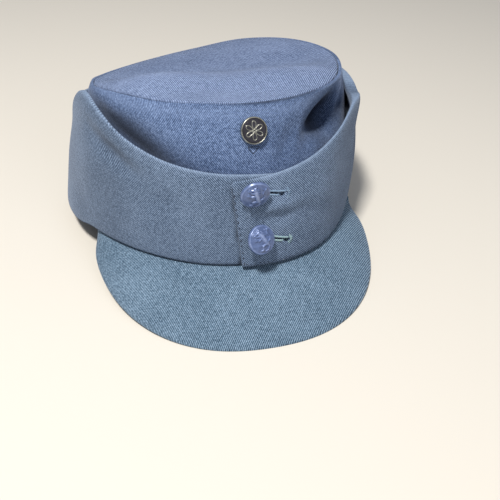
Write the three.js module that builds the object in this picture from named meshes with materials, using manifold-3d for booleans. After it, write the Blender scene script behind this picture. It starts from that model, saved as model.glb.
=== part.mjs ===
// A wool field cap: an oval crown of wall and top, a turned-up curtain buttoned at the front,
// a cloth-covered peak, two shank buttons and a round enamelled badge on a pin.
// Millimetres and degrees. The peak points to -Y, +X is the right of the cap seen from the front, +Z is up.
// A turn is an angle round the cap, from 0 at the front, positive towards +X.
import * as THREE from "three";
import { mergeVertices } from "three/addons/utils/BufferGeometryUtils.js";
import Module from "manifold-3d";

const wasm = await Module();
wasm.setup();

// The head opening and the crown.
const openingHalfWidth = 84.5;
const openingHalfLength = 98;
const crownCloth = 2.2;
const crownHeightFront = 91;
const crownHeightBack = 68;
const crownTopHalfWidth = 77.5;
const crownTopHalfLength = 88;
const crownTopShift = 2;
const crownBulge = 4;
const crownFlare = 5;
const crownSplay = 10;
const crownSplayHeight = 55;
const crownDentDepth = 15;
const crownLeanPower = 1.7;
const crownBulgePower = 1.35;

// The top panel.
const topCloth = 2.2;
const topRidgeRise = 9.5;
const topRidgePlace = 46;
const topRidgeWidth = 21;
const topValleyDrop = 3.5;
const topValleyPlace = 92;
const topValleyWidth = 28;
const topRimPower = 6;
const topRimRoll = 1.6;

// The curtain, which is the turned-up band.
const curtainCloth = 2.8;
const curtainRoll = 5.4;
const curtainFrontHeight = 57;
const curtainCornerHeight = 84;
const curtainStandOff = 10;
const curtainBelly = 4;
const curtainFoot = 3.5;
const curtainHang = 1.7;
const curtainUnderTurn = 17;
const curtainOverTurn = 5;
const curtainOverSlant = 4;
const curtainSlantRun = 24;
const curtainLiftTurn = 58;
const curtainOverCorner = 2.5;
const curtainOverDrop = 2;
const curtainUnderDrop = 3;
const curtainEndDropRun = 40;

// The peak.
const peakTip = 147;
const peakHalfWidth = 90;
const peakHalfTurn = 66;
const peakThickness = 3.2;
const peakFrontDrop = 26;
const peakSideDrop = 13;
const peakSquareness = 2.3;
const peakEndHalfWidth = 85.5;
const peakEndRun = 0.2;

// The buttons and their holes.
const buttonDiameter = 17;
const buttonDome = 3;
const buttonEdge = 1.3;
const buttonRelief = 0.6;
const buttonShankDiameter = 2.4;
const buttonStandOff = 0.5;
const buttonholeLength = 19.5;
const buttonholeWidth = 1.3;
const buttonholeEye = 3.4;

// The badge and its pin.
const badgeDiameter = 14.8;
const badgeThickness = 2;
const badgeRim = 1.1;
const badgeEnamelDepth = 0.9;
const badgeDrop = 13;
const badgeTurn = 0.5;
const badgePinDiameter = 1.6;
const badgeClutchDiameter = 9;
const badgeClutchThickness = 2;

// Clearances between pieces that are sewn, seated or passed through each other.
const seamGap = 0.35;
const seatGap = 0.3;
const holeGap = 0.9;
const enamelGap = 0.2;

// The crown wall round the cap. Height is a share of the way from crownHeightBack to crownHeightFront,
// bulge of crownBulge, flare of crownFlare, which spreads the top edge, and splay of crownSplay, which
// spreads the bottom edge.
const crownRound = [
  { turn: -180, height: 0.2, bulge: 1, flare: 0, splay: 0.1 },
  { turn: -150, height: 0.02, bulge: 1, flare: 0, splay: 0.3 },
  { turn: -120, height: 0.14, bulge: 1, flare: 0, splay: 0.8 },
  { turn: -90, height: 0.52, bulge: 1, flare: 0.3, splay: 1 },
  { turn: -60, height: 0.88, bulge: 1, flare: 0.3, splay: 0.6 },
  { turn: -30, height: 0.98, bulge: 1, flare: 0, splay: 0.1 },
  { turn: 0, height: 1, bulge: 1, flare: 0, splay: 0 },
  { turn: 30, height: 0.98, bulge: 0.9, flare: 0, splay: 0 },
  { turn: 60, height: 0.9, bulge: 0.3, flare: 0.4, splay: 0 },
  { turn: 90, height: 0.96, bulge: 0.8, flare: 1, splay: 0 },
  { turn: 120, height: 0.86, bulge: 1, flare: 0.8, splay: 0 },
  { turn: 150, height: 0.6, bulge: 1, flare: 0.2, splay: 0 },
  { turn: 180, height: 0.2, bulge: 1, flare: 0, splay: 0.1 },
];

// Dents of the crown wall. Wide is in degrees, up and tall are shares of the wall's height at that turn,
// and deep is a share of crownDentDepth.
const crownDents = [
  { turn: 43, wide: 14, up: 0.77, tall: 0.13, deep: 1.15 },
  { turn: 20, wide: 12, up: 0.76, tall: 0.12, deep: 0.25 },
  { turn: -64, wide: 22, up: 0.7, tall: 0.16, deep: 0.14 },
  { turn: 168, wide: 30, up: 0.62, tall: 0.25, deep: 0.2 },
];

// The curtain round the cap. Height is a share of the way from curtainFrontHeight to curtainCornerHeight,
// stand of curtainStandOff at its top, belly of curtainBelly half way up, foot of curtainFoot at its bottom,
// and roll of the way from curtainCloth to curtainRoll.
const curtainRound = [
  { turn: -180, height: 0.04, stand: 0.1, belly: 0.4, foot: 0.2, roll: 1 },
  { turn: -140, height: 0.04, stand: 0.1, belly: 0.5, foot: 0.4, roll: 1 },
  { turn: -112, height: 0.22, stand: 0.15, belly: 0.8, foot: 0.8, roll: 1 },
  { turn: -90, height: 0.58, stand: 0.25, belly: 1, foot: 1, roll: 1 },
  { turn: -74, height: 0.98, stand: 0.45, belly: 0.9, foot: 0.8, roll: 0.9 },
  { turn: -60, height: 0.8, stand: 0.5, belly: 0.7, foot: 0.5, roll: 0.6 },
  { turn: -48, height: 0.5, stand: 0.5, belly: 0.6, foot: 0.6, roll: 0.1 },
  { turn: -30, height: 0.18, stand: 0.38, belly: 0.4, foot: 0.8, roll: 0 },
  { turn: -12, height: 0.02, stand: 0.16, belly: 0.2, foot: 1, roll: 0 },
  { turn: 6, height: 0, stand: 0.03, belly: 0.2, foot: 1, roll: 0 },
  { turn: 24, height: 0.18, stand: 0.1, belly: 0.3, foot: 0.8, roll: 0 },
  { turn: 40, height: 0.52, stand: 0.5, belly: 0.2, foot: 0.5, roll: 0 },
  { turn: 52, height: 0.74, stand: 0.65, belly: 0.6, foot: 0.3, roll: 0.3 },
  { turn: 64, height: 0.76, stand: 0.72, belly: 0.8, foot: 0.2, roll: 0.6 },
  { turn: 78, height: 0.7, stand: 0.4, belly: 0.8, foot: 0.2, roll: 1 },
  { turn: 94, height: 0.78, stand: 0.22, belly: 0.7, foot: 0.2, roll: 1 },
  { turn: 120, height: 0.6, stand: 0.2, belly: 0.5, foot: 0.2, roll: 1 },
  { turn: 150, height: 0.25, stand: 0.1, belly: 0.4, foot: 0.2, roll: 1 },
  { turn: 180, height: 0.04, stand: 0.1, belly: 0.4, foot: 0.2, roll: 1 },
];

// The buttons. Height is a share of curtainFrontHeight, lean and cant tip the button up and sideways on its
// shank, hole is a share of buttonholeLength, and droop is the slope at which the hole runs down.
const buttons = [
  { name: "button_upper", turn: -1.5, height: 0.855, lean: -22, cant: 3, hole: 1.1, droop: 0.15 },
  { name: "button_lower", turn: 0.5, height: 0.388, lean: 22, cant: 16, hole: 1.06, droop: 0.28 },
];

// The raised lion on each button, as round-ended strokes in shares of the button's radius.
const lionStrokes = [
  { name: "body", x0: 0.1, y0: -0.22, x1: -0.12, y1: 0.22, r: 0.16 },
  { name: "mane", x0: -0.14, y0: 0.34, x1: -0.06, y1: 0.26, r: 0.19 },
  { name: "muzzle", x0: -0.2, y0: 0.44, x1: -0.38, y1: 0.4, r: 0.08 },
  { name: "upper_paw", x0: -0.2, y0: 0.2, x1: -0.52, y1: 0.2, r: 0.065 },
  { name: "lower_paw", x0: -0.16, y0: 0.08, x1: -0.5, y1: -0.06, r: 0.065 },
  { name: "near_leg", x0: 0.14, y0: -0.26, x1: 0.3, y1: -0.58, r: 0.085 },
  { name: "far_leg", x0: 0.02, y0: -0.3, x1: -0.3, y1: -0.5, r: 0.075 },
  { name: "tail", x0: 0.2, y0: -0.18, x1: 0.48, y1: 0.08, r: 0.05 },
  { name: "tail_end", x0: 0.48, y0: 0.08, x1: 0.32, y1: 0.42, r: 0.07 },
];

// The badge's rosette.
const rosettePetals = 6;
const rosetteReach = 0.8;
const rosettePetalWidth = 0.2;
const rosetteEye = 0.16;

// How finely the cloth is faceted.
const crownSteps = 66;

const degrees = Math.PI / 180;
const clamp = THREE.MathUtils.clamp;
const lerp = THREE.MathUtils.lerp;
const smoothstep = THREE.MathUtils.smoothstep;

// The shortest signed angle from one turn to another.
function turnBetween(from, to) {
  return THREE.MathUtils.euclideanModulo(to - from + 180, 360) - 180;
}

// A column of a table whose rows run once round by turn, eased from row to row.
function eased(table, turn, column) {
  const place = turnBetween(0, turn);
  const count = table.length - 1;
  const high = Math.max(1, table.findIndex((row) => row.turn > place));
  const row = (index) => {
    const laps = Math.floor(index / count);
    const found = table[index - laps * count];
    return { turn: found.turn + 360 * laps, value: found[column] };
  };
  const [before, a, b, after] = [row(high - 2), row(high - 1), row(high), row(high + 1)];
  const span = b.turn - a.turn;
  const share = (place - a.turn) / span;
  const slopeA = (span * (b.value - before.value)) / (b.turn - before.turn);
  const slopeB = (span * (after.value - a.value)) / (after.turn - a.turn);
  const s2 = share * share;
  const s3 = s2 * share;
  const ends = (2 * s3 - 3 * s2 + 1) * a.value + (3 * s2 - 2 * s3) * b.value;
  return ends + (s3 - 2 * s2 + share) * slopeA + (s3 - s2) * slopeB;
}

// A point of an oval round the Z axis.
function ovalPoint(turn, halfWidth, halfLength, shift) {
  return new THREE.Vector3(
    halfWidth * Math.sin(turn * degrees),
    shift - halfLength * Math.cos(turn * degrees),
    0,
  );
}

// The unit normal of a surface of turn and height, pointing away from the cap.
function outwardNormal(surface, turn, height) {
  const along = surface(turn + 0.5, height).sub(surface(turn - 0.5, height));
  const up = surface(turn, height + 0.5).sub(surface(turn, height - 0.5));
  return along.cross(up).normalize();
}

// A closed mesh from two grids of points, the first of them on the outside. A row is one trip up the cloth.
function clothGeometry(outside, inside, closesRound) {
  const rows = outside.length;
  const last = outside[0].length - 1;
  const half = rows * (last + 1);
  const at = (row, column, side) => (row % rows) * (last + 1) + column + side * half;
  const faces = [];
  const quad = (a, b, c, d) => faces.push(a, b, c, a, c, d);
  const trips = closesRound ? rows : rows - 1;
  for (let row = 0; row < trips; row++) {
    const next = row + 1;
    for (let column = 0; column < last; column++) {
      const above = column + 1;
      quad(at(row, column, 0), at(next, column, 0), at(next, above, 0), at(row, above, 0));
      quad(at(row, column, 1), at(row, above, 1), at(next, above, 1), at(next, column, 1));
    }
    quad(at(row, 0, 1), at(next, 0, 1), at(next, 0, 0), at(row, 0, 0));
    quad(at(row, last, 0), at(next, last, 0), at(next, last, 1), at(row, last, 1));
  }
  if (!closesRound) {
    const end = rows - 1;
    for (let column = 0; column < last; column++) {
      const above = column + 1;
      quad(at(0, column, 0), at(0, above, 0), at(0, above, 1), at(0, column, 1));
      quad(at(end, column, 1), at(end, above, 1), at(end, above, 0), at(end, column, 0));
    }
  }
  const points = [...outside.flat(), ...inside.flat()];
  const geometry = new THREE.BufferGeometry().setFromPoints(points);
  geometry.setIndex(faces);
  return withoutSlivers(mergeVertices(geometry, 1e-3));
}

// The same mesh without the faces that merging has closed up.
function withoutSlivers(geometry) {
  const index = [...geometry.index.array];
  const kept = [];
  for (let i = 0; i < index.length; i += 3) {
    const [a, b, c] = index.slice(i, i + 3);
    if (a !== b && b !== c && c !== a) kept.push(a, b, c);
  }
  geometry.setIndex(kept);
  return geometry;
}

// Evenly spaced values from the first to the last.
function spaced(first, last, count) {
  return Array.from({ length: count }, (_, i) => first + ((last - first) * i) / (count - 1));
}

// A three.js geometry as a manifold-3d solid, and a solid as a three.js geometry.
function solidOf(geometry) {
  const bare = geometry.clone();
  for (const name of ["normal", "uv"]) bare.deleteAttribute(name);
  const merged = withoutSlivers(mergeVertices(bare, 1e-4));
  return new wasm.Manifold(
    new wasm.Mesh({
      numProp: 3,
      vertProperties: new Float32Array(merged.attributes.position.array),
      triVerts: new Uint32Array(merged.index.array),
    }),
  );
}

function geometryOf(solid) {
  const mesh = solid.getMesh();
  const geometry = new THREE.BufferGeometry();
  geometry.setAttribute("position", new THREE.BufferAttribute(mesh.vertProperties, 3));
  geometry.setIndex(new THREE.BufferAttribute(mesh.triVerts, 1));
  return geometry;
}

// A turned body about the Z axis from pairs of radius and height.
function turned(pairs, sides) {
  const profile = pairs.map(([radius, height]) => new THREE.Vector2(radius, height));
  return new THREE.LatheGeometry(profile, sides).rotateX(Math.PI / 2);
}

// A round-ended stroke drawn on the XY plane, as a prism from one height to another.
function strokePrism(x0, y0, x1, y1, radius, low, high) {
  const heading = Math.atan2(y1 - y0, x1 - x0);
  const outline = new THREE.Shape();
  outline.absarc(x1, y1, radius, heading - Math.PI / 2, heading + Math.PI / 2, false);
  outline.absarc(x0, y0, radius, heading + Math.PI / 2, heading + (3 * Math.PI) / 2, false);
  outline.closePath();
  const options = { depth: high - low, bevelEnabled: false, curveSegments: 3 };
  return new THREE.ExtrudeGeometry(outline, options).translate(0, 0, low);
}

// A frame seated on a surface: its Z leaves the surface and its Y runs up it.
function seatOn(surface, turn, height) {
  const z = outwardNormal(surface, turn, height);
  const x = new THREE.Vector3(0, 0, 1).cross(z).normalize();
  const y = z.clone().cross(x);
  return new THREE.Matrix4().makeBasis(x, y, z).setPosition(surface(turn, height));
}

// Crown wall: one loop of cloth from the bottom edge up to the top seam.
const baseHalfWidth = openingHalfWidth + crownCloth;
const baseHalfLength = openingHalfLength + crownCloth;

function seamHeight(turn) {
  return lerp(crownHeightBack, crownHeightFront, eased(crownRound, turn, "height"));
}

// The badge's height above the bottom edge, from its drop below the top seam.
function badgeHeight() {
  return seamHeight(badgeTurn) - badgeDrop;
}

function outwardAt(turn) {
  return ovalPoint(turn, baseHalfWidth, baseHalfLength, 0).normalize();
}

// The wall as it would be without its dents, at a height in millimetres.
function smoothWall(turn, height) {
  const up = clamp(height / seamHeight(turn), 0, 1);
  const lean = Math.pow(up, crownLeanPower);
  const point = ovalPoint(turn, baseHalfWidth, baseHalfLength, 0);
  point.lerp(ovalPoint(turn, crownTopHalfWidth, crownTopHalfLength, crownTopShift), lean);
  const arch = Math.sin(Math.PI * Math.pow(up, crownBulgePower));
  const bulge = crownBulge * eased(crownRound, turn, "bulge") * arch;
  const low = clamp(1 - height / crownSplayHeight, 0, 1);
  const splay = crownSplay * eased(crownRound, turn, "splay") * low * low;
  const flare = crownFlare * eased(crownRound, turn, "flare") * lean;
  point.addScaledVector(outwardAt(turn), bulge + splay + flare);
  point.z = height;
  return point;
}

function crownFace(turn, height) {
  const up = height / seamHeight(turn);
  const depth = crownDents.reduce((sum, dent) => {
    const across = turnBetween(dent.turn, turn) / dent.wide;
    const along = (up - dent.up) / dent.tall;
    return sum + dent.deep * crownDentDepth * Math.exp(-across * across - along * along);
  }, 0);
  return smoothWall(turn, height).addScaledVector(outwardAt(turn), -depth);
}

function crownWallGeometry() {
  const turns = spaced(-180, 180 - 360 / crownSteps, crownSteps);
  const ups = [0, 0.12, 0.26, 0.4, 0.53, 0.64, 0.73, 0.81, 0.89, 0.95, 1];
  const behind = (turn, up) => {
    const height = clamp(up, 0.02, 0.98) * seamHeight(turn);
    const point = crownFace(turn, up * seamHeight(turn));
    const inward = outwardNormal(crownFace, turn, height).setZ(0);
    return point.addScaledVector(inward.normalize(), -crownCloth);
  };
  const outside = turns.map((turn) => ups.map((up) => crownFace(turn, up * seamHeight(turn))));
  const inside = turns.map((turn) => ups.map((up) => behind(turn, up)));
  const seat = seatOn(crownFace, badgeTurn, badgeHeight());
  const bore = badgePinDiameter / 2 + seatGap;
  const deep = -3 * crownCloth;
  const drill = turned([[0, deep], [bore, deep], [bore, crownCloth], [0, crownCloth]], 12).applyMatrix4(seat);
  return geometryOf(solidOf(clothGeometry(outside, inside, true)).subtract(solidOf(drill)));
}

// Crown top: the oval panel inside the top seam, with a ridge behind the front seam and a valley behind that.
function topFace(turn, share) {
  const rim = crownFace(turn, seamHeight(turn));
  const centre = new THREE.Vector3(0, crownTopShift, 0);
  const reaches = [0, 0.5, 1].map((depth) => {
    return crownFace(turn, rim.z - depth * topCloth).setZ(0).distanceTo(centre);
  });
  const point = rim.clone().sub(centre).setZ(0);
  point.setLength(share * (Math.min(...reaches) - crownCloth - seamGap));
  const back = seamHeight(180);
  const middle = (seamHeight(90) + seamHeight(-90) + seamHeight(0) + back) / 4;
  const fromFront = point.y + crownTopHalfLength;
  const ridge = Math.exp(-Math.pow((fromFront - topRidgePlace) / topRidgeWidth, 2));
  const valley = Math.exp(-Math.pow((fromFront - topValleyPlace) / topValleyWidth, 2));
  const edge = 1 - Math.pow(share, topRimPower);
  const roll = topRimRoll * (1 - Math.pow(share, 2 * topRimPower));
  point.z = lerp(middle, rim.z, share * share) + roll + edge * (topRidgeRise * ridge - topValleyDrop * valley);
  point.y += crownTopShift;
  return point;
}

function crownTopGeometry() {
  const turns = spaced(-180, 180 - 360 / crownSteps, crownSteps);
  const shares = [1, 0.96, 0.87, 0.74, 0.56, 0.3, 0];
  const upper = turns.map((turn) => shares.map((share) => topFace(turn, share)));
  const under = upper.map((row) => row.map((point) => point.clone().setZ(point.z - topCloth)));
  return clothGeometry(upper, under, true);
}

// Curtain: the cloth band turned up round the crown, its over end buttoned across its under end.
// It is followed in travelled degrees, from the under end right round the back to the over end.
const curtainStart = curtainUnderTurn;
const curtainEnd = -360 - curtainOverTurn;
const peakRoot = peakThickness + 2 * seamGap;

function curtainTop(travelled) {
  const top = lerp(curtainFrontHeight, curtainCornerHeight, eased(curtainRound, travelled, "height"));
  const fromEnd = (travelled - curtainEnd) * degrees * baseHalfLength;
  const fromStart = (curtainStart - travelled) * degrees * baseHalfLength;
  const overDrop = curtainOverDrop * (1 - smoothstep(fromEnd, 0, curtainEndDropRun));
  const underDrop = curtainUnderDrop * (1 - smoothstep(fromStart, 0, curtainEndDropRun));
  const inCorner = clamp(curtainOverCorner - fromEnd, 0, curtainOverCorner);
  return top - overDrop - underDrop - curtainOverCorner + Math.sqrt(curtainOverCorner ** 2 - inCorner ** 2);
}

function curtainBottom(travelled) {
  const turn = Math.abs(turnBetween(0, travelled));
  const hang = curtainHang * (1 - smoothstep(turn, 0.25 * peakHalfTurn, 0.8 * peakHalfTurn));
  return (peakRoot - hang) * (1 - smoothstep(turn, peakHalfTurn + 2, peakHalfTurn + 9));
}

// How far the over end is lifted off the under end.
function curtainLift(travelled) {
  return (curtainCloth + seatGap) * smoothstep(-travelled, 360 - curtainLiftTurn, 360 - curtainUnderTurn - 5);
}

// The inner and outer faces of the curtain at a height in millimetres.
function curtainInside(travelled, height) {
  const up = height / curtainTop(travelled);
  const stand = curtainStandOff * eased(curtainRound, travelled, "stand") * Math.pow(up, 4);
  const belly = curtainBelly * eased(curtainRound, travelled, "belly") * Math.sin(Math.PI * clamp(up, 0, 1));
  const foot = curtainFoot * eased(curtainRound, travelled, "foot") * (1 - up) ** 2;
  const off = seamGap + stand + belly + foot + curtainLift(travelled);
  return smoothWall(travelled, height).addScaledVector(outwardAt(travelled), off);
}

function curtainThickness(travelled, height) {
  const rolled = clamp(eased(curtainRound, travelled, "roll"), 0, 1);
  const up = height / curtainTop(travelled);
  return lerp(curtainCloth, curtainRoll, rolled * smoothstep(up, 0.8, 0.93));
}

function curtainOutside(travelled, height) {
  const thickness = curtainThickness(travelled, height);
  return curtainInside(travelled, height).addScaledVector(outwardAt(travelled), thickness);
}

// The hole of a button: round at the shank, then a slit, then a small eye. It is cut through the over end only.
function buttonholeCutter(button) {
  const travelled = button.turn - 360;
  const middle = button.height * curtainFrontHeight;
  const perDegree = degrees * curtainOutside(travelled, middle).length();
  const low = -buttonShankDiameter / 2 - holeGap;
  const eyePlace = button.hole * buttonholeLength;
  const high = eyePlace + buttonholeEye / 2;
  const outside = [];
  const inside = [];
  for (const along of spaced(low, high, 17)) {
    const shank = Math.sqrt(Math.max(0, low ** 2 - along ** 2));
    const eye = Math.sqrt(Math.max(0, (buttonholeEye / 2) ** 2 - (along - eyePlace) ** 2));
    const half = Math.max(buttonholeWidth / 2, shank, eye);
    const place = travelled + along / perDegree;
    const line = middle - button.droop * Math.max(0, along);
    const heights = [line - half, line + half];
    const out = outwardAt(place);
    outside.push(heights.map((z) => curtainOutside(place, z).addScaledVector(out, curtainCloth)));
    inside.push(heights.map((z) => curtainInside(place, z).addScaledVector(out, -seatGap / 2)));
  }
  return clothGeometry(outside, inside, false);
}

function curtainGeometry() {
  const travelled = [
    ...spaced(curtainEnd, curtainEnd + 4, 5),
    ...spaced(curtainEnd + 8, curtainStart, 76),
  ];
  const ups = [0, 0.05, 0.2, 0.36, 0.52, 0.66, 0.78, 0.88, 0.96, 1];
  const trims = [0.25, 0, 0, 0, 0, 0, 0, 0, 0.08, 0.3];
  const outside = [];
  const inside = [];
  for (const turn of travelled) {
    const nearEnd = 1 - smoothstep(turn, curtainEnd, curtainEnd + curtainSlantRun);
    const rows = ups.map((up, i) => {
      const place = turn - curtainOverSlant * up * nearEnd;
      const height = lerp(curtainBottom(turn), curtainTop(turn), up);
      const trim = trims[i] * curtainThickness(place, height);
      const out = outwardAt(place);
      return [
        curtainOutside(place, height).addScaledVector(out, -trim),
        curtainInside(place, height).addScaledVector(out, trim),
      ];
    });
    outside.push(rows.map((row) => row[0]));
    inside.push(rows.map((row) => row[1]));
  }
  const band = solidOf(clothGeometry(outside, inside, false));
  return geometryOf(buttons.reduce((solid, button) => solid.subtract(solidOf(buttonholeCutter(button))), band));
}

// Peak: stiff board covered with cloth, sewn to the front of the bottom edge and bent down at its sides.
function peakFace(share, out) {
  const turn = lerp(-peakHalfTurn, peakHalfTurn, share);
  const sweep = lerp(-90, 90, share) * degrees;
  const forward = Math.pow(Math.max(0, Math.cos(sweep)), 2 / peakSquareness);
  const sideways = Math.sign(sweep) * Math.pow(Math.abs(Math.sin(sweep)), 2 / peakSquareness);
  const cornerBack = -baseHalfLength * Math.cos(peakHalfTurn * degrees);
  const root = smoothWall(turn, 0).addScaledVector(outwardAt(turn), seamGap);
  const halfWidth = lerp(peakEndHalfWidth, peakHalfWidth, smoothstep(forward, 0, peakEndRun));
  const edge = new THREE.Vector3(halfWidth * sideways, lerp(cornerBack, -peakTip, forward), 0);
  const point = root.lerp(edge, out);
  const drop = peakFrontDrop * forward + peakSideDrop * (1 - forward) * Math.pow(forward, 0.3);
  point.z = peakThickness - (drop + peakThickness * forward) * lerp(out, out * out, 0.2);
  return point;
}

function peakGeometry() {
  const shares = spaced(0, 180, 33).map((angle) => (1 - Math.cos(angle * degrees)) / 2);
  const outs = [0, 0.2, 0.42, 0.64, 0.84, 0.97, 1];
  const trims = [0, 0, 0, 0, 0, 0.05, 0.3];
  const sheet = (depth) =>
    shares.map((share) =>
      outs.map((out, i) => {
        const point = peakFace(share, out);
        const inset = trims[i] * peakThickness;
        return point.setZ(point.z - lerp(inset, peakThickness - inset, depth));
      }),
    );
  return clothGeometry(sheet(1), sheet(0), false);
}

// Button: a domed disc of painted pressed metal with a raised lion, and a shank through the buttonhole.
function buttonGeometry(button) {
  const travelled = button.turn - 360;
  const radius = buttonDiameter / 2;
  const domePoint = (share, rise) => [
    radius * share,
    buttonEdge + rise + (buttonDome - buttonEdge) * (1 - share * share),
  ];
  const cup = (rise) =>
    turned([[0, 0], [radius, 0], ...spaced(1, 0, 5).map((share) => domePoint(share, rise))], 24);
  const strokes = lionStrokes.map((s) =>
    solidOf(
      strokePrism(
        s.x0 * radius, s.y0 * radius, s.x1 * radius, s.y1 * radius, s.r * radius,
        buttonEdge / 2, buttonDome + 2 * buttonRelief,
      ),
    ),
  );
  const lion = strokes.reduce((all, stroke) => all.add(stroke)).intersect(solidOf(cup(buttonRelief)));
  const tip = new THREE.Matrix4().makeRotationFromEuler(
    new THREE.Euler(-button.lean * degrees, button.cant * degrees, 0),
  );
  const tipRise = radius * Math.sin(Math.hypot(button.lean, button.cant) * degrees) + buttonStandOff;
  const face = solidOf(cup(0)).add(lion).transform(tip.setPosition(0, 0, tipRise).elements);
  const low = -curtainCloth;
  const shankRadius = buttonShankDiameter / 2;
  const high = tipRise + buttonEdge / 2;
  const shank = solidOf(turned([[0, low], [shankRadius, low], [shankRadius, high], [0, high]], 12));
  const seat = seatOn(curtainOutside, travelled, button.height * curtainFrontHeight);
  return geometryOf(face.add(shank)).applyMatrix4(seat);
}

// Badge: a round silver dish with a rosette, dark enamel round the rosette, and a pin through the crown wall.
function rosetteSolid(grow, low, high) {
  const inner = badgeDiameter / 2 - badgeRim;
  const eye = rosetteEye * inner + grow;
  const disc = solidOf(turned([[0, low], [eye, low], [eye, high], [0, high]], 12));
  return spaced(0, 360, rosettePetals + 1).slice(1).reduce((all, angle) => {
    const petal = new THREE.Shape();
    const half = rosettePetalWidth * inner + grow;
    const reach = rosetteReach * inner + grow;
    petal.moveTo(0, 0);
    petal.quadraticCurveTo(2 * half, 0.55 * reach, 0, reach);
    petal.quadraticCurveTo(-2 * half, 0.55 * reach, 0, 0);
    const options = { depth: high - low, bevelEnabled: false, curveSegments: 5 };
    const prism = new THREE.ExtrudeGeometry(petal, options).translate(0, 0, low).rotateZ(angle * degrees);
    return all.add(solidOf(prism));
  }, disc);
}

function badgeGeometry(seat) {
  const radius = badgeDiameter / 2;
  const inner = radius - badgeRim;
  const floor = badgeThickness - badgeEnamelDepth;
  const dish = turned(
    [[0, 0], [radius, 0], [radius, 0.7 * badgeThickness], [radius - 0.3 * badgeRim, badgeThickness],
      [inner, badgeThickness], [inner, floor], [0, floor]],
    32,
  );
  const rosette = rosetteSolid(0, 0.5 * floor, badgeThickness);
  return geometryOf(solidOf(dish).add(rosette)).translate(0, 0, seatGap).applyMatrix4(seat);
}

function badgeEnamelGeometry(seat) {
  const inner = badgeDiameter / 2 - badgeRim - enamelGap;
  const low = badgeThickness - badgeEnamelDepth + enamelGap;
  const high = badgeThickness - 0.5 * enamelGap;
  const disc = solidOf(turned([[0, low], [inner, low], [inner, high], [0, high]], 32));
  const cut = disc.subtract(rosetteSolid(enamelGap, low - 1, high + 1));
  return geometryOf(cut).translate(0, 0, seatGap).applyMatrix4(seat);
}

function badgePinGeometry(seat) {
  const pin = badgePinDiameter / 2;
  const clutch = badgeClutchDiameter / 2;
  const clutchTop = -crownCloth - 2 * seatGap;
  const clutchLow = clutchTop - badgeClutchThickness;
  const profile = [
    [0, clutchLow], [clutch, clutchLow], [clutch, clutchTop],
    [pin, clutchTop], [pin, 0], [0, 0],
  ];
  return turned(profile, 16).applyMatrix4(seat);
}

// Colours and finishes.
const crownSerge = new THREE.MeshStandardMaterial({ color: 0x5f7396, roughness: 0.95, metalness: 0 });
const curtainSerge = new THREE.MeshStandardMaterial({ color: 0x5b6a84, roughness: 0.95, metalness: 0 });
const peakSerge = new THREE.MeshStandardMaterial({ color: 0x5d6f8b, roughness: 0.95, metalness: 0 });
const paintedMetal = new THREE.MeshStandardMaterial({ color: 0x6d7b9e, roughness: 0.5, metalness: 0.2 });
const silver = new THREE.MeshStandardMaterial({ color: 0xb4b8c2, roughness: 0.35, metalness: 1 });
const enamel = new THREE.MeshStandardMaterial({ color: 0x33313a, roughness: 0.25, metalness: 0 });
const steel = new THREE.MeshStandardMaterial({ color: 0x9a9da3, roughness: 0.4, metalness: 1 });

// The cap in its own frame, with its bottom edge at Z 0.
function capPieces() {
  const pieces = new THREE.Group();
  const add = (name, geometry, material) => {
    geometry.computeVertexNormals();
    const mesh = new THREE.Mesh(geometry, material);
    mesh.name = name;
    pieces.add(mesh);
  };
  const badgeSeat = seatOn(crownFace, badgeTurn, badgeHeight());
  add("crown_wall", crownWallGeometry(), crownSerge);
  add("crown_top", crownTopGeometry(), crownSerge);
  add("curtain", curtainGeometry(), curtainSerge);
  add("peak", peakGeometry(), peakSerge);
  buttons.forEach((button) => add(button.name, buttonGeometry(button), paintedMetal));
  add("badge", badgeGeometry(badgeSeat), silver);
  add("badge_enamel", badgeEnamelGeometry(badgeSeat), enamel);
  add("badge_pin", badgePinGeometry(badgeSeat), steel);
  return pieces;
}

// The tilt at which the peak's edge and the back of the cap both touch the surface that the cap stands on.
function restingTilt(pieces) {
  const point = new THREE.Vector3();
  const lowest = (names, tilt) => {
    const turnedBack = new THREE.Matrix4().makeRotationX(-tilt * degrees);
    let low = Infinity;
    for (const mesh of pieces.children.filter((piece) => names.includes(piece.name))) {
      const places = mesh.geometry.attributes.position;
      for (let i = 0; i < places.count; i++) {
        low = Math.min(low, point.fromBufferAttribute(places, i).applyMatrix4(turnedBack).z);
      }
    }
    return low;
  };
  let [level, steep] = [0, 30];
  for (let step = 0; step < 40; step++) {
    const tilt = (level + steep) / 2;
    if (lowest(["peak"], tilt) < lowest(["crown_wall", "curtain"], tilt)) level = tilt;
    else steep = tilt;
  }
  return level;
}

// The finished cap stands on Z 0, with the middle of its box over the origin.
function standingCap() {
  const pieces = capPieces();
  pieces.rotation.x = -restingTilt(pieces) * degrees;
  const cap = new THREE.Group();
  cap.add(pieces);
  cap.updateMatrixWorld(true);
  const box = new THREE.Box3().setFromObject(cap, true);
  const centre = box.getCenter(new THREE.Vector3());
  pieces.position.set(-centre.x, -centre.y, -box.min.z);
  return cap;
}

export default standingCap();
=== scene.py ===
import math

import bmesh
import bpy
from mathutils import Matrix, Vector, noise
from mathutils.bvhtree import BVHTree


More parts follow.
